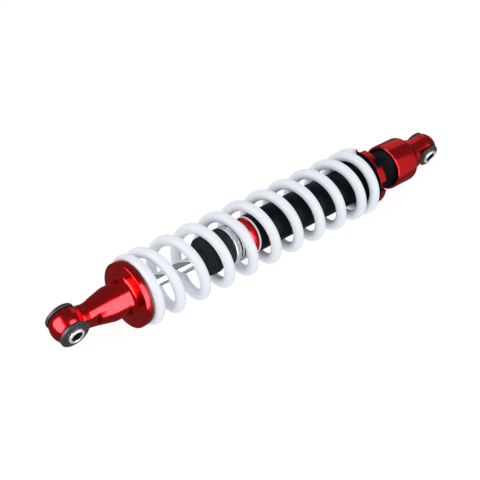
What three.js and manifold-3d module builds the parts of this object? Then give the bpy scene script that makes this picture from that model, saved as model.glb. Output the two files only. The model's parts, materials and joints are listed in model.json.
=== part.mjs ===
// Coil-over rear shock absorber for a small off-road motorcycle.
// Millimetres. X runs along the shock from the lower eye (-X) to the upper eye (+X),
// Y along both eye bolts, Z up. The origin is the centre of the upper eye.
import * as THREE from 'three';
import { mergeVertices } from 'three/addons/utils/BufferGeometryUtils.js';
import Module from 'manifold-3d';

const wasm = await Module();
wasm.setup();

// ---- clearances and facet counts ------------------------------------------------------------
const GAP = 0.3; // between pieces that touch
const SLIDE_GAP = 0.4; // between the rod and what it slides through
const PAST = 1; // how far a cutter runs past the surface that it cuts
const ROUND = 32; // facets of large turned pieces
const SMALL_ROUND = 20; // facets of sleeves and rods
const INNER_ROUND = 16; // facets of pieces hidden inside
const DRILLED_ROUND = 12; // facets of the gas passages

// ---- driving dimensions ---------------------------------------------------------------------
const EYE_TO_EYE = 360;

// both eyes and what they hold
const EYE_R = 12.8; // turned ball of the eye
const EYE_HALF_WIDTH = 7.2; // from the middle to the flats milled on the ball
const BOLT_HOLE_R = 4.1;
const SLEEVE_R = 6.2;
const SLEEVE_HALF_LENGTH = 12.1;
const BUSH_WALL = 1.9; // rubber between sleeve and eye
const BUSH_FLANGE_R = { upper: 9.8, lower: 11.4 };
const BUSH_FLANGE = 2.5; // thickness
const BUSH_LIP_R = 8.6; // raised ring round the sleeve
const BUSH_LIP = 0.7;

// rod and what is on it
const ROD_R = 5;
const ROD_STEP = 1; // the shank under the piston is this much thinner in radius
const ROD_CHAMFER = 0.6;
const ROD_PAST_NUT = 1;
const ROD_THREAD_DEPTH = 16; // rod end inside the lower eye
const PISTON_LENGTH = 12;
const PISTON_BAND = 5;
const PISTON_BAND_DEPTH = 1.2;
const SHIM_STACK = 1.8;
const SHIM_WALL = 4.7;
const PISTON_NUT = 7;
const PISTON_NUT_WALL = 3.2;
const TOP_OUT_BUMPER = 4;
const TOP_OUT_BUMPER_WALL = 3.2;
const LOCK_NUT = 6;
const LOCK_NUT_WALL = 4.5; // from its hole to the corners

// lower eye, stations from its eye centre towards +X
const NECK_R = 9;
const NECK_DEG = 50; // where the ball's outline turns into the neck
const NECK_AT = 15.3;
const CONE_FROM = 21.6; // also where the flats end, which take a spanner on the neck
const CONE_START_R = 10.1;
const CONE_TO = 34.3;
const BARREL_R = 13;
const BARREL_TO = 43.5;
const FLANGE_AT = 49.1;
const FLANGE = 5;
const FLANGE_PAST_COIL = 1.25; // rim radius beyond the middle of the wire
const FLANGE_FILLET = 2.8; // rise of the fillet from the barrel to the flange
const FLANGE_CHAMFER = 0.6;
const SPIGOT_SHORT = 0.6; // its end stops this much below the middle of the first coil
const LOWER_WASHER = 1;
const LOWER_WASHER_INSET = 0.4; // rim radius under the flange's

// spring
const WIRE_R = 4;
const SPRING_FIT = 1; // round the spigots that centre it
const TURNS = 11.34;
const CLOSED_PITCH = 4; // rise per turn of the closed and ground ends
const LOWER_CLOSED = 0.42; // turns before the coil opens
const LOWER_OPENING = 0.83; // turns over which it opens
const UPPER_CLOSED = 0.27;
const UPPER_CLOSING = 1.66;
const GROUND_OFF = 2; // taken off the wire at each end
const COIL_START_DEG = -59.25; // angle of the wire's lower tip, from +Y towards +Z
const STEPS_PER_TURN = 14;
const WIRE_SIDES = 8;

// damper tube and preload, stations from the upper eye centre towards -X
const TUBE_R = 15;
const TUBE_WALL = 2;
const TUBE_TOP = 27;
const TUBE_LENGTH = 169.6;
const TUBE_CHAMFER = 0.5; // on its lower end
const THREAD_LENGTH = 79.3; // from the tube's top
const THREAD_PITCH = 1.5;
const THREAD_DEPTH = 0.5;
const COLLAR_AT = 67.4; // its upper face
const COLLAR = 6.7;
const COLLAR_INSIDE_COIL = 0.25; // radius under the middle of the wire
const COLLAR_CHAMFER = 0.5;
const NOTCHES = 7;
const NOTCH_WIDTH = 8.2;
const NOTCH_DEPTH = 4.7;
const NOTCH_DEG = 4.2; // angle of one notch, from +Y towards +Z
const SEAT_RING = 1.2;
const SEAT_PAST_COIL = 1.65; // rim radius beyond the middle of the wire
const SEAT_HUB = 4; // its spigot into the spring
const SEAT_HUB_CHAMFER = 0.8;
const SEAT_RIM_CHAMFER = 0.3;
const SEAT_HUB_WALL = 3.35;
const THREAD_CLEARANCE = 0.3; // of seat ring and collar on the thread

// cap
const SKIRT_WALL = 2;
const SKIRT_SPACE = 1.65; // between skirt and tube
const SKIRT_MOUTH = 47.8;
const SKIRT_CHAMFER = 0.4; // round its mouth
const SKIRT_TOP = 26.5; // where the shoulder starts
const SHOULDER_TOP = 17.5; // where it has run down to the eye's stem
const STEM_INSET = 0.4; // stem radius under the eye's
const TUBE_SOCKET = 8; // the tube's end sits this deep in the cap
const PLUG_LENGTH = 12; // cap plug inside the tube
const GAS_HOLE_R = 1.2;
const GAS_SCREW_R = 2.8;
const GAS_SCREW = 5;
const GAS_SCREW_SLOT = 1;
const GAS_PORT_AT = 17;
const GAS_PORT_FLOOR = 4; // from the axis to the end of the port
const GAS_SCREW_SUNK = 0.8; // below the cap's surface

// seal head, gland and bump stop, downwards from the tube's lower end
const HEAD_RIM = 6.3;
const HEAD_RIM_INSET = 0.6; // rim radius under the tube's
const HEAD_SPIGOT = 13;
const GUIDE = 8;
const GUIDE_WALL = 1.4;
const SEAL = 4;
const SEAL_WALL = 2.9;
const GLAND = 13;
const GLAND_PROUD = 0.2; // radius beyond the tube's
const GLAND_RING = 1.4; // width of each turned ring and groove on the gland cap
const GLAND_RINGS = 2;
const GLAND_GROOVE = 0.9; // depth
const WIPER = 3.5;
const BUMP_WASHER = 2.9;
const BUMP_STOP = 20.4;
const BUMP_STOP_WALL = 9.6;
const BUMP_STOP_TIP_WALL = 7.6;
const BUMP_STOP_WAIST = 1.6; // depth
const BUMP_STOP_WAIST_AT = 9.2; // from its upper end
const BUMP_STOP_WAIST_HALF = 4; // half its width
const BUMP_STOP_ROUND = 1.5; // radius of its lower edge
const BUMP_STOP_ROUND_DEG = 165; // where that edge starts on the lower face
const BUMP_STOP_CHAMFER = 0.8;

// O-rings and floating piston
const O_RING = 1.5; // section diameter
const FLOATING_PISTON_AT = 98; // its lower face, from the upper eye centre
const FLOATING_PISTON = 12;
const FLOATING_PISTON_CUP = 5; // depth of its hollow
const FLOATING_PISTON_WALL = 2.5; // at the hollow's mouth
const FLOATING_PISTON_DRAFT = 1; // the hollow's floor is this much smaller in radius

// ---- stations worked out from them ------------------------------------------------------------
const ROD_SHANK_R = ROD_R - ROD_STEP;
const ROD_HOLE_R = ROD_R + SLIDE_GAP;
const SHANK_HOLE_R = ROD_SHANK_R + GAP;
const BORE_R = TUBE_R - TUBE_WALL;
const BORE_FIT_R = BORE_R - GAP; // anything inside the tube
const THREAD_BORE_R = TUBE_R + THREAD_CLEARANCE;
const COIL_R = THREAD_BORE_R + SEAT_HUB_WALL + SPRING_FIT + WIRE_R; // to the middle of the wire
const COLLAR_R = COIL_R - COLLAR_INSIDE_COIL;
const SKIRT_R = TUBE_R + SKIRT_SPACE + SKIRT_WALL;
const STEM_R = EYE_R - STEM_INSET;
const HEAD_RIM_R = TUBE_R - HEAD_RIM_INSET;
const GLAND_R = TUBE_R + GLAND_PROUD;
const SEAL_R = ROD_HOLE_R + SEAL_WALL;
const GUIDE_R = ROD_HOLE_R + GUIDE_WALL;
const BUMP_STOP_R = ROD_HOLE_R + BUMP_STOP_WALL;
const SPIGOT_R = COIL_R - WIRE_R - SPRING_FIT;
const FLANGE_R = COIL_R + FLANGE_PAST_COIL;
const SEAT_RING_R = COIL_R + SEAT_PAST_COIL;
const BUSH_BORE_R = SLEEVE_R + GAP;
const BUSH_R = BUSH_BORE_R + BUSH_WALL;
const EYE_BORE_R = BUSH_R + GAP;
const LOWER_EYE_X = -EYE_TO_EYE;
const FLANGE_X = LOWER_EYE_X + FLANGE_AT;
const FLANGE_FACE_X = FLANGE_X + FLANGE;
const SPRING_LOW_X = FLANGE_FACE_X + GAP + LOWER_WASHER + GAP;
const SPIGOT_FACE_X = SPRING_LOW_X + WIRE_R - GROUND_OFF - SPIGOT_SHORT;
const COLLAR_LOW_X = -COLLAR_AT - COLLAR;
const SEAT_TOP_X = COLLAR_LOW_X - GAP;
const SEAT_LOW_X = SEAT_TOP_X - SEAT_RING;
const SPRING_TOP_X = SEAT_LOW_X - GAP;
const TUBE_TOP_X = -TUBE_TOP;
const TUBE_LOW_X = TUBE_TOP_X - TUBE_LENGTH;
const HEAD_TOP_X = TUBE_LOW_X + HEAD_SPIGOT;
const HEAD_RIM_X = TUBE_LOW_X - GAP;
const HEAD_LOW_X = HEAD_RIM_X - HEAD_RIM;
const GLAND_TOP_X = HEAD_LOW_X - GAP;
const GLAND_LOW_X = GLAND_TOP_X - GLAND;
const BUMP_WASHER_TOP_X = GLAND_LOW_X - GAP;
const BUMP_WASHER_LOW_X = BUMP_WASHER_TOP_X - BUMP_WASHER;
const BUMP_STOP_TOP_X = BUMP_WASHER_LOW_X - GAP;
const BUMP_STOP_LOW_X = BUMP_STOP_TOP_X - BUMP_STOP;
const ROD_LOW_X = FLANGE_FACE_X - ROD_THREAD_DEPTH;
const BUMPER_LOW_X = HEAD_TOP_X + GAP;
const REBOUND_SHIMS_X = BUMPER_LOW_X + TOP_OUT_BUMPER + GAP;
const PISTON_X = REBOUND_SHIMS_X + SHIM_STACK + GAP;
const COMPRESSION_SHIMS_X = PISTON_X + PISTON_LENGTH + GAP;
const PISTON_NUT_X = COMPRESSION_SHIMS_X + SHIM_STACK + GAP;
const ROD_TOP_X = PISTON_NUT_X + PISTON_NUT + ROD_PAST_NUT;

// ---- helpers ----------------------------------------------------------------------------------
// A closed triangle mesh with its vertices merged and collapsed triangles dropped.
function tidy(geometry) {
  const bare = new THREE.BufferGeometry();
  bare.setAttribute('position', geometry.getAttribute('position'));
  bare.setIndex(geometry.getIndex());
  const merged = mergeVertices(bare, 1e-4);
  const corners = merged.getIndex().array;
  const kept = [];
  for (let i = 0; i < corners.length; i += 3) {
    const [a, b, c] = [corners[i], corners[i + 1], corners[i + 2]];
    if (a !== b && b !== c && c !== a) kept.push(a, b, c);
  }
  merged.setIndex(kept);
  return merged;
}

function toSolid(geometry) {
  const merged = tidy(geometry);
  return new wasm.Manifold(new wasm.Mesh({
    numProp: 3,
    vertProperties: new Float32Array(merged.getAttribute('position').array),
    triVerts: new Uint32Array(merged.getIndex().array),
  }));
}

function fromSolid(solid) {
  const mesh = solid.getMesh();
  const geometry = new THREE.BufferGeometry();
  geometry.setAttribute('position', new THREE.BufferAttribute(new Float32Array(mesh.vertProperties), 3));
  geometry.setIndex([...mesh.triVerts]);
  return geometry;
}

// Cuts each of the tools out of a geometry.
function cut(geometry, ...tools) {
  let solid = toSolid(geometry);
  for (const tool of tools) solid = solid.subtract(toSolid(tool));
  return fromSolid(solid);
}

// Turns a profile of [station, radius] points about the Y axis. A profile either starts and
// ends on the axis or is closed on itself by this function.
function turnedAboutY(profile, facets = ROUND) {
  const points = profile.map(([station, radius]) => new THREE.Vector2(radius, station));
  const onAxis = points[0].x === 0 && points.at(-1).x === 0;
  if (THREE.ShapeUtils.area(points) < 0) points.reverse();
  if (!onAxis) points.push(points[0].clone());
  return tidy(new THREE.LatheGeometry(points, facets));
}

function turnedAboutX(profile, facets = ROUND) {
  return turnedAboutY(profile, facets).rotateZ(-Math.PI / 2);
}

// A plain ring about X.
function ring(from, to, innerR, outerR, facets = INNER_ROUND) {
  return turnedAboutX([[from, innerR], [from, outerR], [to, outerR], [to, innerR]], facets);
}

// Points of an arc in a profile, angles in degrees from the +station direction.
function arc(station, radius, r, fromDeg, toDeg, steps) {
  const points = [];
  for (let i = 0; i <= steps; i += 1) {
    const angle = THREE.MathUtils.degToRad(fromDeg + ((toDeg - fromDeg) * i) / steps);
    points.push([station + r * Math.cos(angle), radius + r * Math.sin(angle)]);
  }
  return points;
}

// A quarter-wave blend between two [station, radius] points, flat at both ends.
function blend([x0, r0], [x1, r1], steps) {
  const points = [];
  for (let i = 1; i < steps; i += 1) {
    const share = (1 - Math.cos((Math.PI * i) / steps)) / 2;
    points.push([x0 + ((x1 - x0) * i) / steps, r0 + (r1 - r0) * share]);
  }
  return points;
}

function block(xFrom, xTo, yFrom, yTo, zFrom, zTo) {
  const box = new THREE.BoxGeometry(xTo - xFrom, yTo - yFrom, zTo - zFrom);
  return box.translate((xFrom + xTo) / 2, (yFrom + yTo) / 2, (zFrom + zTo) / 2);
}

// An O-ring about X that lies in a groove under an outer bore.
function oRing(station, outerR) {
  const r = O_RING / 2;
  return turnedAboutX(arc(station, outerR - r, r, 0, 300, 5), INNER_ROUND);
}

// The outline of a groove for that O-ring, for a profile that runs towards +X.
function oRingGroove(station, outerR) {
  const floor = outerR - O_RING - GAP;
  const half = O_RING / 2 + GAP;
  const [low, top] = [station - half, station + half];
  return [[low, outerR], [low, floor], [top, floor], [top, outerR]];
}

function finish(colour, roughness, metalness) {
  return new THREE.MeshStandardMaterial({ color: colour, roughness, metalness });
}

const RED_ANODISED = finish(0xa80f1c, 0.25, 0.9);
const BLACK_ANODISED = finish(0x101318, 0.3, 0.6);
const WHITE_POWDER = finish(0xeef0f4, 0.3, 0);
const RUBBER = finish(0x1c1d1f, 0.6, 0);
const CHARCOAL_FOAM = finish(0x2a2e31, 0.8, 0);
const BRIGHT_STEEL = finish(0xc4c7cc, 0.25, 1);
const CHROME = finish(0xdfe2e6, 0.08, 1);
const BRONZE = finish(0x9a7b4f, 0.4, 0.9);
const ALUMINIUM = finish(0xb9bcc0, 0.35, 1);
const SEAL_RUBBER = finish(0x151515, 0.7, 0);

const group = new THREE.Group();

function add(name, geometry, material) {
  const mesh = new THREE.Mesh(geometry, material);
  mesh.name = name;
  group.add(mesh);
}

// ---- eyes ---------------------------------------------------------------------------------------
// Cutters that turn a ball at station x into an eye: the bush bore, and a flat on each side
// that runs from one station to the other.
function eyeCutters(x, flatFrom, flatTo) {
  const reach = EYE_R + PAST;
  const bore = new THREE.CylinderGeometry(EYE_BORE_R, EYE_BORE_R, 2 * reach, ROUND).translate(x, 0, 0);
  return [
    bore,
    block(flatFrom, flatTo, EYE_HALF_WIDTH, reach, -reach, reach),
    block(flatFrom, flatTo, -reach, -EYE_HALF_WIDTH, -reach, reach),
  ];
}

function bushHalf(x, flangeR, side) {
  const inner = GAP / 2;
  const seat = EYE_HALF_WIDTH + GAP;
  const face = seat + BUSH_FLANGE;
  const profile = [
    [inner, BUSH_BORE_R],
    [inner, BUSH_R],
    [seat, BUSH_R],
    [seat, flangeR],
    [face, flangeR],
    [face, BUSH_LIP_R],
    [face + BUSH_LIP, BUSH_LIP_R],
    [face + BUSH_LIP, BUSH_BORE_R],
  ].map(([station, radius]) => [side * station, radius]);
  return turnedAboutY(profile, ROUND).translate(x, 0, 0);
}

function sleeve(x) {
  const half = SLEEVE_HALF_LENGTH;
  const profile = [[-half, BOLT_HOLE_R], [-half, SLEEVE_R], [half, SLEEVE_R], [half, BOLT_HOLE_R]];
  return turnedAboutY(profile, SMALL_ROUND).translate(x, 0, 0);
}

for (const [end, x] of [['upper', 0], ['lower', LOWER_EYE_X]]) {
  add(`${end}_bush_near`, bushHalf(x, BUSH_FLANGE_R[end], -1), RUBBER);
  add(`${end}_bush_far`, bushHalf(x, BUSH_FLANGE_R[end], 1), RUBBER);
  add(`${end}_sleeve`, sleeve(x), BRIGHT_STEEL);
}

// ---- upper eye cap ------------------------------------------------------------------------------
const PLUG_LOW_X = TUBE_TOP_X + GAP - PLUG_LENGTH;
const CAP_RING_X = TUBE_TOP_X - PLUG_LENGTH / 2;

function upperEyeCap() {
  const socketTop = TUBE_TOP_X + GAP;
  const socketLow = socketTop - TUBE_SOCKET;
  const stemMeetsBall = -Math.sqrt(EYE_R ** 2 - STEM_R ** 2);
  const ballStart = THREE.MathUtils.radToDeg(Math.atan2(STEM_R, stemMeetsBall));
  const profile = [
    [PLUG_LOW_X, 0],
    [PLUG_LOW_X, BORE_FIT_R],
    ...oRingGroove(CAP_RING_X, BORE_FIT_R),
    [socketTop, BORE_FIT_R],
    [socketTop, TUBE_R + GAP],
    [socketLow, TUBE_R + GAP],
    [socketLow, SKIRT_R - SKIRT_WALL],
    [-SKIRT_MOUTH, SKIRT_R - SKIRT_WALL],
    [-SKIRT_MOUTH, SKIRT_R - SKIRT_CHAMFER],
    [-SKIRT_MOUTH + SKIRT_CHAMFER, SKIRT_R],
    [-SKIRT_TOP, SKIRT_R],
    ...blend([-SKIRT_TOP, SKIRT_R], [-SHOULDER_TOP, STEM_R], 6),
    [-SHOULDER_TOP, STEM_R],
    ...arc(0, 0, EYE_R, ballStart, 0, 8).slice(0, -1),
    [EYE_R, 0],
  ];
  const eye = eyeCutters(0, -EYE_R - PAST / 2, EYE_R + PAST);
  const portLength = STEM_R + SKIRT_R;
  const portR = GAS_SCREW_R + GAP;
  const port = new THREE.CylinderGeometry(portR, portR, portLength, INNER_ROUND);
  port.rotateX(Math.PI / 2).translate(-GAS_PORT_AT, 0, -GAS_PORT_FLOOR - portLength / 2);
  const passageLength = PLUG_LENGTH + TUBE_TOP - GAS_PORT_AT + PAST;
  const passage = new THREE.CylinderGeometry(GAS_HOLE_R, GAS_HOLE_R, passageLength, DRILLED_ROUND);
  passage.rotateZ(Math.PI / 2).translate(-GAS_PORT_AT - passageLength / 2, 0, 0);
  const crossLength = GAS_PORT_FLOOR + PAST;
  const cross = new THREE.CylinderGeometry(GAS_HOLE_R, GAS_HOLE_R, crossLength, DRILLED_ROUND);
  cross.rotateX(Math.PI / 2).translate(-GAS_PORT_AT, 0, -crossLength / 2);
  return cut(turnedAboutX(profile), ...eye, port, passage, cross);
}

function gasFillScrew() {
  const head = STEM_R - GAS_SCREW_SUNK;
  const screw = new THREE.CylinderGeometry(GAS_SCREW_R, GAS_SCREW_R, GAS_SCREW, INNER_ROUND);
  screw.rotateX(Math.PI / 2).translate(-GAS_PORT_AT, 0, -head + GAS_SCREW / 2);
  const slot = block(
    -GAS_PORT_AT - GAS_SCREW_R - PAST, -GAS_PORT_AT + GAS_SCREW_R + PAST,
    -GAS_SCREW_SLOT / 2, GAS_SCREW_SLOT / 2, -head - PAST, -head + GAS_SCREW_SLOT,
  );
  return cut(screw, slot);
}

add('upper_eye_cap', upperEyeCap(), RED_ANODISED);
add('gas_fill_screw', gasFillScrew(), BRIGHT_STEEL);
add('cap_o_ring', oRing(CAP_RING_X, BORE_FIT_R), SEAL_RUBBER);

// ---- damper tube --------------------------------------------------------------------------------
// The thread is left as plain diameters here: full size on the crests, with a run-out groove.
function damperTube() {
  const threadEnd = TUBE_TOP_X - THREAD_LENGTH;
  const groove = THREAD_PITCH;
  return turnedAboutX([
    [TUBE_LOW_X, BORE_R],
    [TUBE_LOW_X, TUBE_R - TUBE_CHAMFER],
    [TUBE_LOW_X + TUBE_CHAMFER, TUBE_R],
    [threadEnd - groove, TUBE_R],
    [threadEnd - groove, TUBE_R - THREAD_DEPTH],
    [threadEnd, TUBE_R - THREAD_DEPTH],
    [threadEnd, TUBE_R],
    [TUBE_TOP_X, TUBE_R],
    [TUBE_TOP_X, BORE_R],
  ]);
}

add('damper_tube', damperTube(), BLACK_ANODISED);

// ---- floating piston ----------------------------------------------------------------------------
const FLOATING_RING_X = -FLOATING_PISTON_AT + FLOATING_PISTON / 3;

function floatingPiston() {
  const [low, top] = [-FLOATING_PISTON_AT, -FLOATING_PISTON_AT + FLOATING_PISTON];
  const cupR = BORE_FIT_R - FLOATING_PISTON_WALL;
  return turnedAboutX([
    [low, 0],
    [low, BORE_FIT_R],
    ...oRingGroove(FLOATING_RING_X, BORE_FIT_R),
    [top, BORE_FIT_R],
    [top, cupR],
    [top - FLOATING_PISTON_CUP, cupR - FLOATING_PISTON_DRAFT],
    [top - FLOATING_PISTON_CUP, 0],
  ], INNER_ROUND);
}

add('floating_piston', floatingPiston(), ALUMINIUM);
add('floating_piston_o_ring', oRing(FLOATING_RING_X, BORE_FIT_R), SEAL_RUBBER);

// ---- seal head, gland and bump stop -------------------------------------------------------------
const HEAD_RING_X = TUBE_LOW_X + HEAD_SPIGOT / 2;

function sealHead() {
  const sealPocket = HEAD_LOW_X + SEAL + GAP;
  const guidePocket = HEAD_TOP_X - GUIDE - GAP;
  return turnedAboutX([
    [HEAD_LOW_X, SEAL_R + GAP],
    [HEAD_LOW_X, HEAD_RIM_R],
    [HEAD_RIM_X, HEAD_RIM_R],
    [HEAD_RIM_X, BORE_FIT_R],
    ...oRingGroove(HEAD_RING_X, BORE_FIT_R),
    [HEAD_TOP_X, BORE_FIT_R],
    [HEAD_TOP_X, GUIDE_R + GAP],
    [guidePocket, GUIDE_R + GAP],
    [guidePocket, ROD_HOLE_R],
    [sealPocket, ROD_HOLE_R],
    [sealPocket, SEAL_R + GAP],
  ]);
}

function glandCap() {
  const wiperPocket = GLAND_LOW_X + WIPER + GAP;
  const grooves = [];
  for (let i = 0; i < GLAND_RINGS; i += 1) {
    const at = GLAND_LOW_X + GLAND_RING * (1 + 2 * i);
    const floor = GLAND_R - GLAND_GROOVE;
    grooves.push([at, GLAND_R], [at, floor], [at + GLAND_RING, floor], [at + GLAND_RING, GLAND_R]);
  }
  return turnedAboutX([
    [GLAND_LOW_X, SEAL_R + GAP],
    [GLAND_LOW_X, GLAND_R],
    ...grooves,
    [GLAND_TOP_X, GLAND_R],
    [GLAND_TOP_X, ROD_HOLE_R],
    [wiperPocket, ROD_HOLE_R],
    [wiperPocket, SEAL_R + GAP],
  ]);
}

function bumpStop() {
  const [low, top] = [BUMP_STOP_LOW_X, BUMP_STOP_TOP_X];
  const waist = top - BUMP_STOP_WAIST_AT;
  const roundR = BUMP_STOP_R - BUMP_STOP_ROUND;
  return turnedAboutX([
    [low, ROD_HOLE_R],
    [low, ROD_HOLE_R + BUMP_STOP_TIP_WALL],
    ...arc(low + BUMP_STOP_ROUND, roundR, BUMP_STOP_ROUND, BUMP_STOP_ROUND_DEG, 90, 4),
    [waist - BUMP_STOP_WAIST_HALF, BUMP_STOP_R],
    [waist, BUMP_STOP_R - BUMP_STOP_WAIST],
    [waist + BUMP_STOP_WAIST_HALF, BUMP_STOP_R],
    [top - BUMP_STOP_CHAMFER, BUMP_STOP_R],
    [top, BUMP_STOP_R - BUMP_STOP_CHAMFER],
    [top, ROD_HOLE_R],
  ]);
}

add('seal_head', sealHead(), RED_ANODISED);
add('head_o_ring', oRing(HEAD_RING_X, BORE_FIT_R), SEAL_RUBBER);
add('rod_guide_bush', ring(HEAD_TOP_X - GUIDE, HEAD_TOP_X, ROD_HOLE_R, GUIDE_R), BRONZE);
add('rod_seal', ring(HEAD_LOW_X, HEAD_LOW_X + SEAL, ROD_HOLE_R, SEAL_R), SEAL_RUBBER);
add('gland_cap', glandCap(), ALUMINIUM);
add('rod_wiper', ring(GLAND_LOW_X, GLAND_LOW_X + WIPER, ROD_HOLE_R, SEAL_R), SEAL_RUBBER);
add('bump_washer', ring(BUMP_WASHER_LOW_X, BUMP_WASHER_TOP_X, ROD_HOLE_R, GLAND_R, ROUND), BRIGHT_STEEL);
add('bump_stop', bumpStop(), CHARCOAL_FOAM);

// ---- rod and piston -----------------------------------------------------------------------------
function pistonRod() {
  return turnedAboutX([
    [ROD_LOW_X, 0],
    [ROD_LOW_X, ROD_R - ROD_CHAMFER],
    [ROD_LOW_X + ROD_CHAMFER, ROD_R],
    [BUMPER_LOW_X + TOP_OUT_BUMPER, ROD_R],
    [BUMPER_LOW_X + TOP_OUT_BUMPER, ROD_SHANK_R],
    [ROD_TOP_X, ROD_SHANK_R],
    [ROD_TOP_X, 0],
  ], SMALL_ROUND);
}

function piston() {
  const [low, top] = [PISTON_X, PISTON_X + PISTON_LENGTH];
  const bandLow = (low + top - PISTON_BAND) / 2 - GAP;
  const bandTop = (low + top + PISTON_BAND) / 2 + GAP;
  const floor = BORE_FIT_R - PISTON_BAND_DEPTH - GAP;
  return turnedAboutX([
    [low, SHANK_HOLE_R],
    [low, BORE_FIT_R],
    [bandLow, BORE_FIT_R],
    [bandLow, floor],
    [bandTop, floor],
    [bandTop, BORE_FIT_R],
    [top, BORE_FIT_R],
    [top, SHANK_HOLE_R],
  ], INNER_ROUND);
}

function pistonBand() {
  const middle = PISTON_X + PISTON_LENGTH / 2;
  const [low, top] = [middle - PISTON_BAND / 2, middle + PISTON_BAND / 2];
  return ring(low, top, BORE_FIT_R - PISTON_BAND_DEPTH, BORE_FIT_R);
}

// A hexagon nut about X.
function hexNut(from, to, holeR, cornerR) {
  const nut = turnedAboutX([[from, 0], [from, cornerR], [to, cornerR], [to, 0]], 6);
  const [low, top] = [from - PAST, to + PAST];
  const hole = turnedAboutX([[low, 0], [low, holeR], [top, holeR], [top, 0]], INNER_ROUND);
  return cut(nut, hole);
}

function shims(from) {
  return ring(from, from + SHIM_STACK, SHANK_HOLE_R, SHANK_HOLE_R + SHIM_WALL);
}

function topOutBumper() {
  const holeR = ROD_R + GAP;
  return ring(BUMPER_LOW_X, BUMPER_LOW_X + TOP_OUT_BUMPER, holeR, holeR + TOP_OUT_BUMPER_WALL);
}

function pistonNut() {
  const cornerR = SHANK_HOLE_R + PISTON_NUT_WALL;
  return hexNut(PISTON_NUT_X, PISTON_NUT_X + PISTON_NUT, SHANK_HOLE_R, cornerR);
}

function rodLockNut() {
  const low = SPIGOT_FACE_X + GAP;
  return hexNut(low, low + LOCK_NUT, ROD_R + GAP, ROD_R + GAP + LOCK_NUT_WALL);
}

add('piston_rod', pistonRod(), CHROME);
add('top_out_bumper', topOutBumper(), SEAL_RUBBER);
add('rebound_shims', shims(REBOUND_SHIMS_X), BRIGHT_STEEL);
add('piston', piston(), ALUMINIUM);
add('piston_band', pistonBand(), SEAL_RUBBER);
add('compression_shims', shims(COMPRESSION_SHIMS_X), BRIGHT_STEEL);
add('piston_nut', pistonNut(), BRIGHT_STEEL);
add('rod_lock_nut', rodLockNut(), BRIGHT_STEEL);

// ---- lower eye ----------------------------------------------------------------------------------
function lowerEye() {
  const x = LOWER_EYE_X;
  const ball = arc(x, 0, EYE_R, 180, NECK_DEG, 8).slice(1);
  const neck = [x + NECK_AT, NECK_R];
  const coneFrom = [x + CONE_FROM, CONE_START_R];
  const barrelFrom = [x + CONE_TO, BARREL_R];
  const barrelTo = [x + BARREL_TO, BARREL_R];
  const filletEnd = [FLANGE_X, BARREL_R + FLANGE_FILLET];
  const fillet = [1, 2, 3].map((i) => {
    const angle = (Math.PI / 2) * (i / 4);
    return [
      barrelTo[0] + (filletEnd[0] - barrelTo[0]) * Math.sin(angle),
      barrelTo[1] + (filletEnd[1] - barrelTo[1]) * (1 - Math.cos(angle)),
    ];
  });
  const boreFloor = ROD_LOW_X - GAP;
  const profile = [
    [x - EYE_R, 0],
    ...ball,
    ...blend(ball.at(-1), neck, 4),
    neck,
    ...blend(neck, coneFrom, 2),
    coneFrom,
    barrelFrom,
    barrelTo,
    ...fillet,
    filletEnd,
    [FLANGE_X, FLANGE_R - FLANGE_CHAMFER],
    [FLANGE_X + FLANGE_CHAMFER, FLANGE_R],
    [FLANGE_FACE_X - FLANGE_CHAMFER, FLANGE_R],
    [FLANGE_FACE_X, FLANGE_R - FLANGE_CHAMFER],
    [FLANGE_FACE_X, SPIGOT_R],
    [SPIGOT_FACE_X - FLANGE_CHAMFER, SPIGOT_R],
    [SPIGOT_FACE_X, SPIGOT_R - FLANGE_CHAMFER],
    [SPIGOT_FACE_X, ROD_R + GAP],
    [boreFloor, ROD_R + GAP],
    [boreFloor, 0],
  ];
  return cut(turnedAboutX(profile), ...eyeCutters(x, x - EYE_R - PAST, x + CONE_FROM));
}

function lowerSpringWasher() {
  const low = FLANGE_FACE_X + GAP;
  return ring(low, low + LOWER_WASHER, SPIGOT_R + GAP, FLANGE_R - LOWER_WASHER_INSET, ROUND);
}

add('lower_eye', lowerEye(), RED_ANODISED);
add('lower_spring_washer', lowerSpringWasher(), RUBBER);

// ---- spring -------------------------------------------------------------------------------------
// The wire's centreline. The rise per turn is small in the closed ends and full between them;
// the full pitch is whatever makes the ground spring just fill the space between its seats.
class CoilCurve extends THREE.Curve {
  constructor() {
    super();
    this.low = SPRING_LOW_X + WIRE_R - GROUND_OFF;
    this.span = SPRING_TOP_X - SPRING_LOW_X - 2 * (WIRE_R - GROUND_OFF);
    const samples = 1200;
    this.opened = [0];
    for (let i = 0; i < samples; i += 1) {
      const middle = ((i + 0.5) / samples) * TURNS;
      this.opened.push(this.opened[i] + (this.openness(middle) * TURNS) / samples);
    }
    this.extraPitch = (this.span - CLOSED_PITCH * TURNS) / this.opened.at(-1);
  }

  openness(turn) {
    const opening = (turn - LOWER_CLOSED) / LOWER_OPENING;
    const closing = (TURNS - UPPER_CLOSED - turn) / UPPER_CLOSING;
    return THREE.MathUtils.clamp(Math.min(opening, closing), 0, 1);
  }

  getPoint(share, target = new THREE.Vector3()) {
    const place = share * (this.opened.length - 1);
    const before = Math.min(Math.floor(place), this.opened.length - 2);
    const opened = THREE.MathUtils.lerp(this.opened[before], this.opened[before + 1], place - before);
    const turn = share * TURNS;
    const x = this.low + CLOSED_PITCH * turn + this.extraPitch * opened;
    const angle = THREE.MathUtils.degToRad(COIL_START_DEG + 360 * turn);
    return target.set(x, COIL_R * Math.cos(angle), COIL_R * Math.sin(angle));
  }
}

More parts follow.
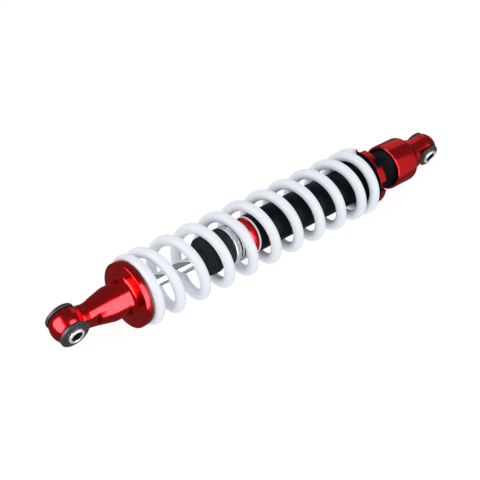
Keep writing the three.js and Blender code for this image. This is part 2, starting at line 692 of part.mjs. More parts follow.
function mainSpring() {
  const section = new THREE.Shape();
  for (let i = 0; i < WIRE_SIDES; i += 1) {
    const angle = (2 * Math.PI * i) / WIRE_SIDES;
    const [u, v] = [WIRE_R * Math.cos(angle), WIRE_R * Math.sin(angle)];
    if (i === 0) section.moveTo(u, v);
    else section.lineTo(u, v);
  }
  const wire = new THREE.ExtrudeGeometry(section, {
    steps: Math.round(TURNS * STEPS_PER_TURN),
    extrudePath: new CoilCurve(),
    bevelEnabled: false,
  });
  const reach = COIL_R + 2 * WIRE_R;
  const lowStone = block(SPRING_LOW_X - 2 * WIRE_R, SPRING_LOW_X, -reach, reach, -reach, reach);
  const topStone = block(SPRING_TOP_X, SPRING_TOP_X + 2 * WIRE_R, -reach, reach, -reach, reach);
  return cut(wire, lowStone, topStone);
}

add('main_spring', mainSpring(), WHITE_POWDER);

// ---- seat ring and preload collar ---------------------------------------------------------------
function springSeatRing() {
  return turnedAboutX([
    [SEAT_LOW_X - SEAT_HUB, THREAD_BORE_R],
    [SEAT_LOW_X - SEAT_HUB, SPIGOT_R - SEAT_HUB_CHAMFER],
    [SEAT_LOW_X - SEAT_HUB + SEAT_HUB_CHAMFER, SPIGOT_R],
    [SEAT_LOW_X, SPIGOT_R],
    [SEAT_LOW_X, SEAT_RING_R - SEAT_RIM_CHAMFER],
    [SEAT_LOW_X + SEAT_RIM_CHAMFER, SEAT_RING_R],
    [SEAT_TOP_X, SEAT_RING_R],
    [SEAT_TOP_X, THREAD_BORE_R],
  ]);
}

function preloadCollar() {
  const [low, top] = [COLLAR_LOW_X, COLLAR_LOW_X + COLLAR];
  const body = turnedAboutX([
    [low, THREAD_BORE_R],
    [low, COLLAR_R - COLLAR_CHAMFER],
    [low + COLLAR_CHAMFER, COLLAR_R],
    [top - COLLAR_CHAMFER, COLLAR_R],
    [top, COLLAR_R - COLLAR_CHAMFER],
    [top, THREAD_BORE_R],
  ]);
  const notches = [];
  for (let i = 0; i < NOTCHES; i += 1) {
    const notch = block(
      low - PAST, top + PAST, COLLAR_R - NOTCH_DEPTH, COLLAR_R + PAST, -NOTCH_WIDTH / 2, NOTCH_WIDTH / 2,
    );
    notches.push(notch.rotateX(THREE.MathUtils.degToRad(NOTCH_DEG + (360 * i) / NOTCHES)));
  }
  return cut(body, ...notches);
}

add('spring_seat_ring', springSeatRing(), BLACK_ANODISED);
add('preload_collar', preloadCollar(), RED_ANODISED);

export default group;
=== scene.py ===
import json
import math

import bpy
from mathutils import Matrix, Vector

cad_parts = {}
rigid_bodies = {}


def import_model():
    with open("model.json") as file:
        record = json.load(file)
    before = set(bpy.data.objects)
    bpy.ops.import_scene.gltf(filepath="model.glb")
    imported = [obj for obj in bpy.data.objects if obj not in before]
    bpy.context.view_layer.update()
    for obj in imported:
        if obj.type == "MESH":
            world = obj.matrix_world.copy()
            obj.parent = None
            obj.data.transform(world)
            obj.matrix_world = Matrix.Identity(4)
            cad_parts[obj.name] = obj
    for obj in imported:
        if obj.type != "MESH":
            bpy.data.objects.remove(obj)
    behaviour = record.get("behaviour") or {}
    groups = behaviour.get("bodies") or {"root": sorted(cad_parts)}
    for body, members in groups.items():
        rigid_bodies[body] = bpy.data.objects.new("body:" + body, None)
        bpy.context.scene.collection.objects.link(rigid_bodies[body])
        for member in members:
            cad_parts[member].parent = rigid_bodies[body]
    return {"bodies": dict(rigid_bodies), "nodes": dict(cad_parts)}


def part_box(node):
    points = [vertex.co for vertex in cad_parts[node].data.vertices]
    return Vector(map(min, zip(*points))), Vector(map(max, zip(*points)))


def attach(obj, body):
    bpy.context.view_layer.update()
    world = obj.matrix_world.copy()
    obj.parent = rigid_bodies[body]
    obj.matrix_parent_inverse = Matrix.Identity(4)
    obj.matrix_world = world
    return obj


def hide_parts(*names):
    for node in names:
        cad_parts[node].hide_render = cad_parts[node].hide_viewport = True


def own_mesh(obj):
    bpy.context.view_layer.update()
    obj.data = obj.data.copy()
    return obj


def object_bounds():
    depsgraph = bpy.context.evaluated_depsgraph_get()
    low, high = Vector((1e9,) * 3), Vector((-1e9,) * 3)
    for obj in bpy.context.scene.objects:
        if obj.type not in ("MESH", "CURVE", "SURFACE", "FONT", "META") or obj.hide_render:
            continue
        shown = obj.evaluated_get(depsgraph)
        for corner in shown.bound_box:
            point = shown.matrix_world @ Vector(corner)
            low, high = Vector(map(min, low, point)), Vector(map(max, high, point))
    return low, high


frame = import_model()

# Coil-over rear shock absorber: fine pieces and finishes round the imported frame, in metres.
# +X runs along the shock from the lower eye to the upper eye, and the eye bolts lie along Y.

CAD_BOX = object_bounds()
MM = 0.001

# ---- sizes read from the frame -----------------------------------------------------------------


def low_x(node):
    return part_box(node)[0].x


def high_x(node):
    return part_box(node)[1].x


def outer_radius(node):
    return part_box(node)[1].z


def middle_of(node):
    low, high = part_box(node)
    return (low + high) / 2


UPPER_EYE = middle_of("upper_sleeve")
LOWER_EYE = middle_of("lower_sleeve")
MIDDLE = (UPPER_EYE + LOWER_EYE) / 2
SLEEVE_HALF_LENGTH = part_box("upper_sleeve")[1].y
SLEEVE_R = outer_radius("upper_sleeve")
EYE_R = high_x("upper_eye_cap")
SKIRT_R = outer_radius("upper_eye_cap")
SKIRT_MOUTH = low_x("upper_eye_cap")
FLANGE_R = outer_radius("lower_eye")
SPIGOT_FACE = high_x("lower_eye")
TUBE_LOW = low_x("damper_tube")
TUBE_TOP = high_x("damper_tube")
TUBE_R = outer_radius("damper_tube")
HEAD_LOW = low_x("seal_head")
HEAD_TOP = high_x("seal_head")
GLAND_LOW = low_x("gland_cap")
GLAND_TOP = high_x("gland_cap")
GLAND_R = outer_radius("gland_cap")
ROD_LOW = low_x("piston_rod")
ROD_TOP = high_x("piston_rod")
ROD_R = outer_radius("piston_rod")
SPRING_LOW = low_x("main_spring")
SPRING_TOP = high_x("main_spring")

# ---- sizes of the finer detail -----------------------------------------------------------------

GAP = 0.3 * MM
WELD = 0.03 * MM
CUT_PAST = 1 * MM
TURNED_SIDES = 96
WIDE_TURNED_SIDES = 128

EYE_HALF_WIDTH = 7.2 * MM
EYE_TIP_DEG = 1.5
BOLT_HOLE_R = 4.1 * MM
BUSH_WALL = 1.9 * MM
BUSH_FLANGE = 2.5 * MM
BUSH_ROUND = 0.35 * MM
BUSH_LIP_R = 8.6 * MM
BUSH_LIP = 0.7 * MM
BUSH_LIP_FOOT = 0.4 * MM
BUSH_EDGE = 0.3 * MM
BUSH_BORE_R = SLEEVE_R + GAP
BUSH_R = BUSH_BORE_R + BUSH_WALL
EYE_BORE_R = BUSH_R + GAP
SLEEVE_CHAMFER = 0.5 * MM

NECK_R = 9 * MM
NECK_DEG = 50
NECK_AT = 15.3 * MM
CONE_FROM = 21.6 * MM
CONE_START_R = 10.1 * MM
CONE_TO = 34.3 * MM
CONE_BLEND = 0.8 * MM
BARREL_R = 13 * MM
BARREL_TO = 43.5 * MM
FLANGE_AT = 49.1 * MM
FLANGE = 5 * MM
FLANGE_FILLET = 2.8 * MM
FLANGE_FILLET_STEPS = 9
SPIGOT_R = 18.65 * MM
ROD_HOLE_R = ROD_R + GAP

SHANK_STEP = 1 * MM
ROD_CHAMFER = 0.6 * MM
NUT_CHAMFER = 0.7 * MM
NUT_FACE = 0.86

SKIRT_WALL = 2 * MM
MOUTH_ROUND = 0.9 * MM
SKIRT_TOP = 26.5 * MM
SHOULDER_TOP = 17.5 * MM
STEM_R = EYE_R - 0.4 * MM
UPPER_FLAT_FROM = -EYE_R - 0.5 * MM
TUBE_WALL = 2 * MM
BORE_R = TUBE_R - TUBE_WALL
BORE_FIT_R = BORE_R - GAP
TUBE_SOCKET = 8 * MM
PLUG_LENGTH = 12 * MM
O_RING = 1.5 * MM
GAS_PORT_AT = 17 * MM
GAS_PORT_FLOOR = 4 * MM
GAS_SCREW_R = 2.8 * MM
GAS_SCREW_CHAMFER = 0.4 * MM
GAS_SCREW_SLOT = 1 * MM

TUBE_CHAMFER = 0.5 * MM
# width of the pale band painted as a highlight on the tube's lower edge
EDGE_HIGHLIGHT_BAND = 0.9 * MM
THREAD_LENGTH = 79.3 * MM
THREAD_PITCH = 1.5 * MM
THREAD_DEPTH = 0.5 * MM
THREAD_SUNK = 0.15 * MM
THREAD_FOOT = 0.42 * THREAD_PITCH
THREAD_CREST = 0.09 * THREAD_PITCH
THREAD_STEPS = 64
THREAD_BORE_R = TUBE_R + GAP

WIRE_R = 4 * MM
COIL_R = 23.65 * MM
TURNS = 11.34
CLOSED_PITCH = 4 * MM
LOWER_CLOSED = 0.42
LOWER_OPENING = 0.83
UPPER_CLOSED = 0.27
UPPER_CLOSING = 1.66
GROUND_OFF = 2 * MM
COIL_START_DEG = -59.25
STEPS_PER_TURN = 48
WIRE_SIDES = 28

NOTCHES = 7
NOTCH_WIDTH = 8.2 * MM
NOTCH_DEPTH = 4.7 * MM
NOTCH_DEG = 4.2
SEAT_HUB_CHAMFER = 0.6 * MM
SEAT_RIM_LAND = 0.2 * MM

SLIDE_HOLE_R = ROD_R + 0.4 * MM
SEAL_POCKET_R = SLIDE_HOLE_R + 3.2 * MM
SEAL_POCKET = 4.3 * MM
GUIDE_POCKET_R = SLIDE_HOLE_R + 1.7 * MM
GUIDE_POCKET = 8.3 * MM
WIPER_POCKET = 3.8 * MM
GLAND_RINGS = 2
GLAND_RING = 1.4 * MM
GLAND_GROOVE = 0.9 * MM
BUMP_STOP_ROUND = 1.5 * MM
BUMP_STOP_TOP_ROUND = 1 * MM
BUMP_STOP_CHAMFER = 0.4 * MM
BUMP_STOP_WAIST_AT = 9.2 * MM
BUMP_STOP_WAIST = 1.6 * MM
BUMP_STOP_WAIST_HALF = 4 * MM

BRIGHT = (0.8, 0.81, 0.83)

CAMERA_AZIMUTH_DEG = -52.187
CAMERA_ELEVATION_DEG = 45.933
CAMERA_ROLL_DEG = 16.238
CAMERA_LEFT = 17.757 * MM
CAMERA_DOWN = 9.746 * MM
CAMERA_BACK = 894.159 * MM
CAMERA_LENS = 88.24

AXES = {
    "X": (Vector((1, 0, 0)), (0, math.pi / 2, 0)),
    "Y": (Vector((0, 1, 0)), (-math.pi / 2, 0, 0)),
    "Z": (Vector((0, 0, 1)), (0, 0, 0)),
}

# ---- bench work: turning, milling and finishing --------------------------------------------------


def clear_bench():
    if bpy.context.mode != "OBJECT":
        bpy.ops.object.mode_set(mode="OBJECT")
    bpy.ops.object.select_all(action="DESELECT")


def take(piece):
    clear_bench()
    piece.select_set(True)
    bpy.context.view_layer.objects.active = piece


def settled(name):
    """The primitive just added, named, with its place moved into its mesh."""
    piece = bpy.context.object
    piece.name = name
    piece.data.name = name
    bpy.ops.object.transform_apply(location=True, rotation=True, scale=True)
    return piece


def arc(station, radius, r, from_deg, to_deg, steps):
    """Outline points of an arc about a centre, with angles from the way that stations grow."""
    points = []
    for i in range(steps + 1):
        angle = math.radians(from_deg + (to_deg - from_deg) * i / steps)
        points.append((station + r * math.cos(angle), radius + r * math.sin(angle)))
    return points


def wave(start, end, steps):
    """Outline points between two others that leave and arrive level."""
    points = []
    for i in range(1, steps):
        share = (1 - math.cos(math.pi * i / steps)) / 2
        station = start[0] + (end[0] - start[0]) * i / steps
        points.append((station, start[1] + (end[1] - start[1]) * share))
    return points


def turned(name, outline, axis="X", at=(0, 0, 0), sides=TURNED_SIDES):
    """Turns an outline of (station, radius): a ring is drawn out and sized, step by step.
    An outline that comes back to its first point makes a hollow ring, and other ends are filled."""
    along, tilt = AXES[axis]
    origin = Vector(at)
    station, radius = outline[0]
    clear_bench()
    bpy.ops.mesh.primitive_circle_add(
        vertices=sides, radius=radius, location=origin + along * station, rotation=tilt
    )
    piece = settled(name)
    bpy.ops.object.mode_set(mode="EDIT")
    bpy.ops.mesh.select_all(action="SELECT")
    for before, after in zip(outline, outline[1:]):
        draw = along * (after[0] - before[0])
        bpy.ops.mesh.extrude_region_move(TRANSFORM_OT_translate={"value": draw})
        grow = after[1] / before[1]
        size = [1 if part else grow for part in along]
        centre = origin + along * after[0]
        bpy.ops.transform.resize(value=size, center_override=centre)
    bpy.ops.mesh.select_all(action="SELECT")
    bpy.ops.mesh.remove_doubles(threshold=0.002 * MM)
    close_up()
    bpy.ops.object.mode_set(mode="OBJECT")
    return piece


def close_up():
    """Fills the open ends of the shape being edited, and points all its faces outwards."""
    bpy.ops.mesh.select_all(action="SELECT")
    bpy.ops.mesh.fill_holes(sides=0)
    bpy.ops.mesh.select_all(action="SELECT")
    bpy.ops.mesh.normals_make_consistent(inside=False)


def closed(outline):
    return outline + [outline[0]]


def block(name, low, high):
    """A cutter: a box between two corners."""
    low, high = Vector(low), Vector(high)
    clear_bench()
    bpy.ops.mesh.primitive_cube_add(size=1, location=(low + high) / 2, scale=high - low)
    return settled(name)


def drill(name, radius, low, high, axis):
    """A cutter: a round bar from one point to another along an axis."""
    low, high = Vector(low), Vector(high)
    clear_bench()
    bpy.ops.mesh.primitive_cylinder_add(
        vertices=TURNED_SIDES, radius=radius, depth=(high - low).length,
        location=(low + high) / 2, rotation=AXES[axis][1],
    )
    return settled(name)


def cut_away(piece, *cutters):
    for cutter in cutters:
        take(piece)
        bpy.ops.object.modifier_add(type="BOOLEAN")
        cutting = piece.modifiers[-1]
        cutting.operation = "DIFFERENCE"
        cutting.solver = "EXACT"
        cutting.object = cutter
        bpy.ops.object.modifier_apply(modifier=cutting.name)
        bpy.data.objects.remove(cutter)


def break_edges(piece, width, segments=3, angle_deg=30):
    """Rounds every edge sharper than an angle, as a machinist breaks edges."""
    take(piece)
    bpy.ops.object.modifier_add(type="BEVEL")
    bevel = piece.modifiers[-1]
    bevel.width = width
    bevel.segments = segments
    bevel.limit_method = "ANGLE"
    bevel.angle_limit = math.radians(angle_deg)
    bevel.use_clamp_overlap = False
    bpy.ops.object.modifier_apply(modifier=bevel.name)


def weld(piece, within):
    take(piece)
    bpy.ops.object.mode_set(mode="EDIT")
    bpy.ops.mesh.select_all(action="SELECT")
    bpy.ops.mesh.remove_doubles(threshold=within)
    bpy.ops.object.mode_set(mode="OBJECT")


def fit(piece, body, slot, finish, *nodes):
    """Gives a shaped piece its finish and its body, in place of the frame's own nodes."""
    take(piece)
    bpy.ops.object.shade_smooth_by_angle(angle=math.radians(32))
    piece.data.materials.clear()
    piece.data.materials.append(finish)
    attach(piece, body)
    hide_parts(*nodes)
    return piece


# ---- finishes ------------------------------------------------------------------------------------


class Finish:
    """A material being made up: its nodes, and short ways to add patterns to it."""

    def __init__(self, name, colour, roughness, metallic=0.0):
        self.material = bpy.data.materials.new(name)
        self.material.use_nodes = True
        self.material.diffuse_color = (*colour, 1)
        self.nodes = self.material.node_tree.nodes
        self.links = self.material.node_tree.links
        self.shader = self.nodes["Principled BSDF"]
        self.shader.inputs["Base Color"].default_value = (*colour, 1)
        self.shader.inputs["Roughness"].default_value = roughness
        self.shader.inputs["Metallic"].default_value = metallic
        self.place = self.nodes.new("ShaderNodeTexCoord").outputs["Object"]

    def coat(self, weight, roughness):
        self.shader.inputs["Coat Weight"].default_value = weight
        self.shader.inputs["Coat Roughness"].default_value = roughness

    def noise(self, scale, detail=3.0, stretch=(1, 1, 1)):
        """A cloudy pattern; scale is in patches per metre."""
        mapping = self.nodes.new("ShaderNodeMapping")
        mapping.inputs["Scale"].default_value = stretch
        self.links.new(self.place, mapping.inputs["Vector"])
        noise = self.nodes.new("ShaderNodeTexNoise")
        noise.inputs["Scale"].default_value = scale
        noise.inputs["Detail"].default_value = detail
        self.links.new(mapping.outputs["Vector"], noise.inputs["Vector"])
        return noise.outputs["Fac"]

    def cells(self, scale):
        """A pattern of small cells; scale is in cells per metre."""
        cells = self.nodes.new("ShaderNodeTexVoronoi")
        cells.inputs["Scale"].default_value = scale
        self.links.new(self.place, cells.inputs["Vector"])
        return cells.outputs["Distance"]

    def rings(self, scale, axis="X"):
        """Tool marks: fine bands along an axis, or rings about it when it names two axes."""
        bands = self.nodes.new("ShaderNodeTexWave")
        bands.wave_type = "BANDS" if len(axis) == 1 else "RINGS"
        if len(axis) == 1:
            bands.bands_direction = axis
        else:
            bands.rings_direction = axis[0]
        bands.inputs["Scale"].default_value = scale
        bands.inputs["Distortion"].default_value = 0.6
        bands.inputs["Detail"].default_value = 2
        self.links.new(self.place, bands.inputs["Vector"])
        return bands.outputs["Fac"]

    def between(self, pattern, low, high, socket):
        """Drives a shader value from a pattern."""
        spread = self.nodes.new("ShaderNodeMapRange")
        spread.inputs["From Min"].default_value = 0.3
        spread.inputs["From Max"].default_value = 0.7
        spread.inputs["To Min"].default_value = low
        spread.inputs["To Max"].default_value = high
        self.links.new(pattern, spread.inputs["Value"])
        self.links.new(spread.outputs["Result"], self.shader.inputs[socket])

    def tint(self, pattern, dark, light):
        """Base colour from dark to light along a pattern."""
        ramp = self.nodes.new("ShaderNodeValToRGB")
        ramp.color_ramp.elements[0].position = 0.3
        ramp.color_ramp.elements[0].color = (*dark, 1)
        ramp.color_ramp.elements[1].position = 0.7
        ramp.color_ramp.elements[1].color = (*light, 1)
        self.links.new(pattern, ramp.inputs["Fac"])
        self.links.new(ramp.outputs["Color"], self.shader.inputs["Base Color"])

    def past_radius(self, centre, across, start, end):
        """0 inside a radius about an axis and 1 outside it; across names the two other axes."""
        shift = self.nodes.new("ShaderNodeVectorMath")
        shift.operation = "SUBTRACT"
        shift.inputs[1].default_value = centre
        self.links.new(self.place, shift.inputs[0])
        flatten = self.nodes.new("ShaderNodeVectorMath")
        flatten.operation = "MULTIPLY"
        flatten.inputs[1].default_value = across
        self.links.new(shift.outputs["Vector"], flatten.inputs[0])
        radius = self.nodes.new("ShaderNodeVectorMath")
        radius.operation = "LENGTH"
        self.links.new(flatten.outputs["Vector"], radius.inputs[0])
        return self.step(radius.outputs["Value"], start, end)

    def past_station(self, start, end):
        """0 below a station along the shock and 1 above it."""
        split = self.nodes.new("ShaderNodeSeparateXYZ")
        self.links.new(self.place, split.inputs["Vector"])
        return self.step(split.outputs["X"], start, end)

    def step(self, value, start, end):
        """0 while a value is below a start, 1 past an end, and a slope between them."""
        step = self.nodes.new("ShaderNodeMapRange")
        step.inputs["From Min"].default_value = start
        step.inputs["From Max"].default_value = end
        self.links.new(value, step.inputs["Value"])
        return step.outputs["Result"]

    def relief(self, pattern, depth, strength=1.0):
        """Raises the surface along a pattern, by a depth in metres."""
        bump = self.nodes.new("ShaderNodeBump")
        bump.inputs["Distance"].default_value = depth
        bump.inputs["Strength"].default_value = strength
        before = self.shader.inputs["Normal"].links
        if before:
            self.links.new(before[0].from_socket, bump.inputs["Normal"])
        self.links.new(pattern, bump.inputs["Height"])
        self.links.new(bump.outputs["Normal"], self.shader.inputs["Normal"])


def red_anodising():
    finish = Finish("red_anodising", (0.62, 0.004, 0.008), 0.2, 1.0)
    finish.tint(finish.noise(45), (0.60, 0.0035, 0.007), (0.64, 0.0045, 0.009))
    finish.between(finish.noise(160, 4), 0.17, 0.23, "Roughness")
    finish.shader.inputs["Specular Tint"].default_value = (0.85, 0.12, 0.18, 1)
    finish.coat(0.36, 0.1)
    finish.relief(finish.rings(420, "X"), 0.002 * MM, 0.4)
    return finish.material


def black_anodising():
    """Black, with a thin pale band painted round the tube's lower end as an edge highlight."""
    black = (0.003, 0.005, 0.008)
    finish = Finish("black_anodising", black, 0.4)
    highlight_top = TUBE_LOW + EDGE_HIGHLIGHT_BAND
    # painted highlight: pale below a station near the tube's lower end, black above it
    finish.tint(finish.past_station(highlight_top, highlight_top + 0.1 * MM), BRIGHT, black)
    finish.between(finish.noise(220, 4), 0.36, 0.46, "Roughness")
    finish.relief(finish.rings(380, "X"), 0.003 * MM, 0.5)
    finish.shader.inputs["Specular IOR Level"].default_value = 0.06
    return finish.material


def white_powder_coat():
    finish = Finish("white_powder_coat", (0.84, 0.875, 0.94), 0.3)
    finish.tint(finish.noise(30), (0.83, 0.865, 0.93), (0.85, 0.885, 0.95))
    finish.between(finish.noise(90, 2), 0.36, 0.46, "Roughness")
    finish.shader.inputs["Specular IOR Level"].default_value = 0.12
    finish.relief(finish.noise(650, 2), 0.02 * MM, 0.5)
    return finish.material


def moulded_rubber():
    finish = Finish("moulded_rubber", (0.03, 0.03, 0.034), 0.4)
    finish.tint(finish.noise(120), (0.026, 0.026, 0.029), (0.036, 0.036, 0.040))
    finish.between(finish.noise(300, 4), 0.38, 0.5, "Roughness")
    finish.shader.inputs["Specular IOR Level"].default_value = 0.3
    finish.relief(finish.noise(1800, 4), 0.02 * MM, 0.6)
    return finish.material


def charcoal_foam():
    finish = Finish("charcoal_foam", (0.011, 0.013, 0.015), 0.9)
    finish.tint(finish.noise(200, 5), (0.008, 0.010, 0.012), (0.015, 0.018, 0.020))
    finish.shader.inputs["Specular IOR Level"].default_value = 0.15
    finish.relief(finish.cells(1500), 0.06 * MM, 0.7)
    finish.relief(finish.noise(500, 4), 0.05 * MM, 0.4)
    return finish.material


def plated_grain(finish):
    finish.between(finish.noise(600, 4), 0.25, 0.36, "Roughness")
    finish.relief(finish.noise(900, 3), 0.006 * MM, 0.5)


def zinc_steel():
    finish = Finish("zinc_steel", BRIGHT, 0.3, 0.55)
    finish.tint(finish.noise(120, 2), (0.79, 0.80, 0.82), (0.83, 0.84, 0.86))
    plated_grain(finish)
    return finish.material


def sleeve_steel(name, centre):
    """Bright steel, with painted shade darkening its bore."""
    finish = Finish(name, BRIGHT, 0.3, 0.5)
    # painted shade: dark inside the bore's radius, bright steel outside it
    bore = BOLT_HOLE_R + 0.05 * MM
    face = finish.past_radius(centre, (1, 0, 1), bore, bore + 0.2 * MM)
    finish.tint(face, (0.035, 0.035, 0.04), BRIGHT)
    plated_grain(finish)
    return finish.material


def hard_chrome():
    finish = Finish("hard_chrome", (0.82, 0.83, 0.85), 0.06, 1.0)
    finish.tint(finish.noise(80, 3, (0.2, 1, 1)), (0.78, 0.79, 0.81), (0.86, 0.87, 0.89))
    finish.between(finish.noise(500, 3, (0.1, 1, 1)), 0.04, 0.1, "Roughness")
    return finish.material


def turned_aluminium():
    """Pale aluminium with tool marks, with painted shade darkening the floors of its grooves."""
    finish = Finish("turned_aluminium", (0.74, 0.75, 0.77), 0.3, 0.55)
    # painted shade: dark inside the grooves' middle radius, pale metal outside it
    grooves = GLAND_R - GLAND_GROOVE / 2
    rim = finish.past_radius((0, 0, 0), (0, 1, 1), grooves, grooves + 0.3 * MM)
    finish.tint(rim, (0.06, 0.06, 0.065), (0.78, 0.79, 0.81))
    finish.between(finish.noise(400, 3), 0.22, 0.36, "Roughness")
    finish.relief(finish.rings(500, "X"), 0.006 * MM, 0.6)
    return finish.material


def sintered_bronze():
    finish = Finish("sintered_bronze", (0.5, 0.34, 0.16), 0.45, 1.0)
    finish.tint(finish.noise(900, 4), (0.38, 0.25, 0.11), (0.58, 0.4, 0.2))
    finish.relief(finish.noise(1500, 3), 0.02 * MM, 0.5)
    return finish.material


def nitrile_rubber():
    finish = Finish("nitrile_rubber", (0.012, 0.012, 0.013), 0.42)
    finish.tint(finish.noise(300, 3), (0.009, 0.009, 0.01), (0.017, 0.017, 0.018))
    finish.relief(finish.noise(2200, 3), 0.01 * MM, 0.5)
    return finish.material


def black_nylon():
    finish = Finish("black_nylon", (0.02, 0.02, 0.021), 0.45)
    finish.tint(finish.noise(200, 3), (0.015, 0.015, 0.016), (0.026, 0.026, 0.027))
    finish.relief(finish.noise(900, 3), 0.02 * MM, 0.5)
    return finish.material


RED = red_anodising()
BLACK = black_anodising()
WHITE = white_powder_coat()
RUBBER = moulded_rubber()
FOAM = charcoal_foam()
STEEL = zinc_steel()
CHROME = hard_chrome()
ALUMINIUM = turned_aluminium()
BRONZE = sintered_bronze()
NITRILE = nitrile_rubber()
NYLON = black_nylon()

# ---- eyes and their bushes -----------------------------------------------------------------------


def eye_cutters(centre, flat_from, flat_to):
    """The bush bore, and a block for the flat on each side of the eye."""
    reach = EYE_R + 2 * CUT_PAST
    bore = drill("bore", EYE_BORE_R, (centre.x, -reach, 0), (centre.x, reach, 0), "Y")
    far = block("far_flat", (flat_from, EYE_HALF_WIDTH, -reach), (flat_to, reach, reach))
    near = block("near_flat", (flat_from, -reach, -reach), (flat_to, -EYE_HALF_WIDTH, reach))
    return bore, far, near


def bush_half(end, centre, side, body):
    """Half a rubber bush: a bored spigot, and a flange with a raised lip round the sleeve."""
    seat = EYE_HALF_WIDTH + GAP
    face = seat + BUSH_FLANGE
    lip = face + BUSH_LIP
    flange_r = outer_radius(f"{end}_bush_far")
    outline = [
        (GAP / 2, BUSH_BORE_R),
        (GAP / 2, BUSH_R),
        (seat, BUSH_R),
        (seat, flange_r - BUSH_EDGE),
        (seat + BUSH_EDGE, flange_r),
    ]
    outline += arc(face - BUSH_ROUND, flange_r - BUSH_ROUND, BUSH_ROUND, 90, 0, 5)
    outline += [
        (face, BUSH_LIP_R + BUSH_LIP_FOOT),
        (face + 0.3 * BUSH_LIP_FOOT, BUSH_LIP_R + 0.25 * BUSH_LIP_FOOT),
        (lip - BUSH_EDGE, BUSH_LIP_R),
    ]
    outline += arc(lip - BUSH_EDGE, BUSH_LIP_R - BUSH_EDGE, BUSH_EDGE, 90, 0, 3)
    outline += [(lip, BUSH_BORE_R + BUSH_EDGE), (lip - BUSH_EDGE, BUSH_BORE_R)]
    outline = [(side * station, radius) for station, radius in outline]
    name = "far" if side > 0 else "near"
    piece = turned(f"{end}_rubber_bush_{name}", closed(outline), "Y", centre)
    fit(piece, body, "rubber_black", RUBBER, f"{end}_bush_{name}")


def bolt_sleeve(end, centre, body):
    """Steel sleeve for the eye bolt, with chamfered ends."""
    half = SLEEVE_HALF_LENGTH
    chamfer = SLEEVE_CHAMFER
    outline = [
        (-half + chamfer, BOLT_HOLE_R),
        (-half, BOLT_HOLE_R + chamfer),
        (-half, SLEEVE_R - chamfer),
        (-half + chamfer, SLEEVE_R),
        (half - chamfer, SLEEVE_R),
        (half, SLEEVE_R - chamfer),
        (half, BOLT_HOLE_R + chamfer),
        (half - chamfer, BOLT_HOLE_R),
    ]
    piece = turned(f"{end}_steel_sleeve", closed(outline), "Y", centre)
    break_edges(piece, width=0.12 * MM, segments=2)
    finish = sleeve_steel(f"{end}_sleeve_steel", centre)
    fit(piece, body, "sleeve_steel", finish, f"{end}_sleeve")


def lower_eye_forging():
    """Ball eye, necked stem, cone and barrel up to the spring flange, and the spring's spigot."""
    x = LOWER_EYE.x
    neck = (x + NECK_AT, NECK_R)
    cone_from = (x + CONE_FROM, CONE_START_R)
    barrel_to = x + BARREL_TO
    flange = x + FLANGE_AT
    flange_face = flange + FLANGE
    outline = arc(x, 0, EYE_R, 180 - EYE_TIP_DEG, NECK_DEG, 40)
    outline += wave(outline[-1], neck, 8) + [neck]
    outline += wave(neck, cone_from, 5) + [cone_from]
    outline += [
        (x + CONE_TO - CONE_BLEND, BARREL_R - 0.25 * CONE_BLEND),
        (x + CONE_TO, BARREL_R - 0.05 * CONE_BLEND),
        (x + CONE_TO + CONE_BLEND, BARREL_R),
        (barrel_to, BARREL_R),
    ]
    for i in range(1, FLANGE_FILLET_STEPS):
        angle = math.pi / 2 * i / FLANGE_FILLET_STEPS
        along = (flange - barrel_to) * math.sin(angle)
        outline.append((barrel_to + along, BARREL_R + FLANGE_FILLET * (1 - math.cos(angle))))
    outline += [
        (flange, BARREL_R + FLANGE_FILLET),
        (flange, FLANGE_R),
        (flange_face, FLANGE_R),
        (flange_face, SPIGOT_R),
        (SPIGOT_FACE, SPIGOT_R),
        (SPIGOT_FACE, ROD_HOLE_R),
        (ROD_LOW - GAP, ROD_HOLE_R),
    ]
    piece = turned("lower_eye_forging", outline, sides=WIDE_TURNED_SIDES)
    cut_away(piece, *eye_cutters(LOWER_EYE, x - EYE_R - 2 * CUT_PAST, x + CONE_FROM))
    weld(piece, WELD)
    break_edges(piece, width=0.45 * MM, segments=4, angle_deg=35)
    fit(piece, "rod", "red_anodised", RED, "lower_eye")


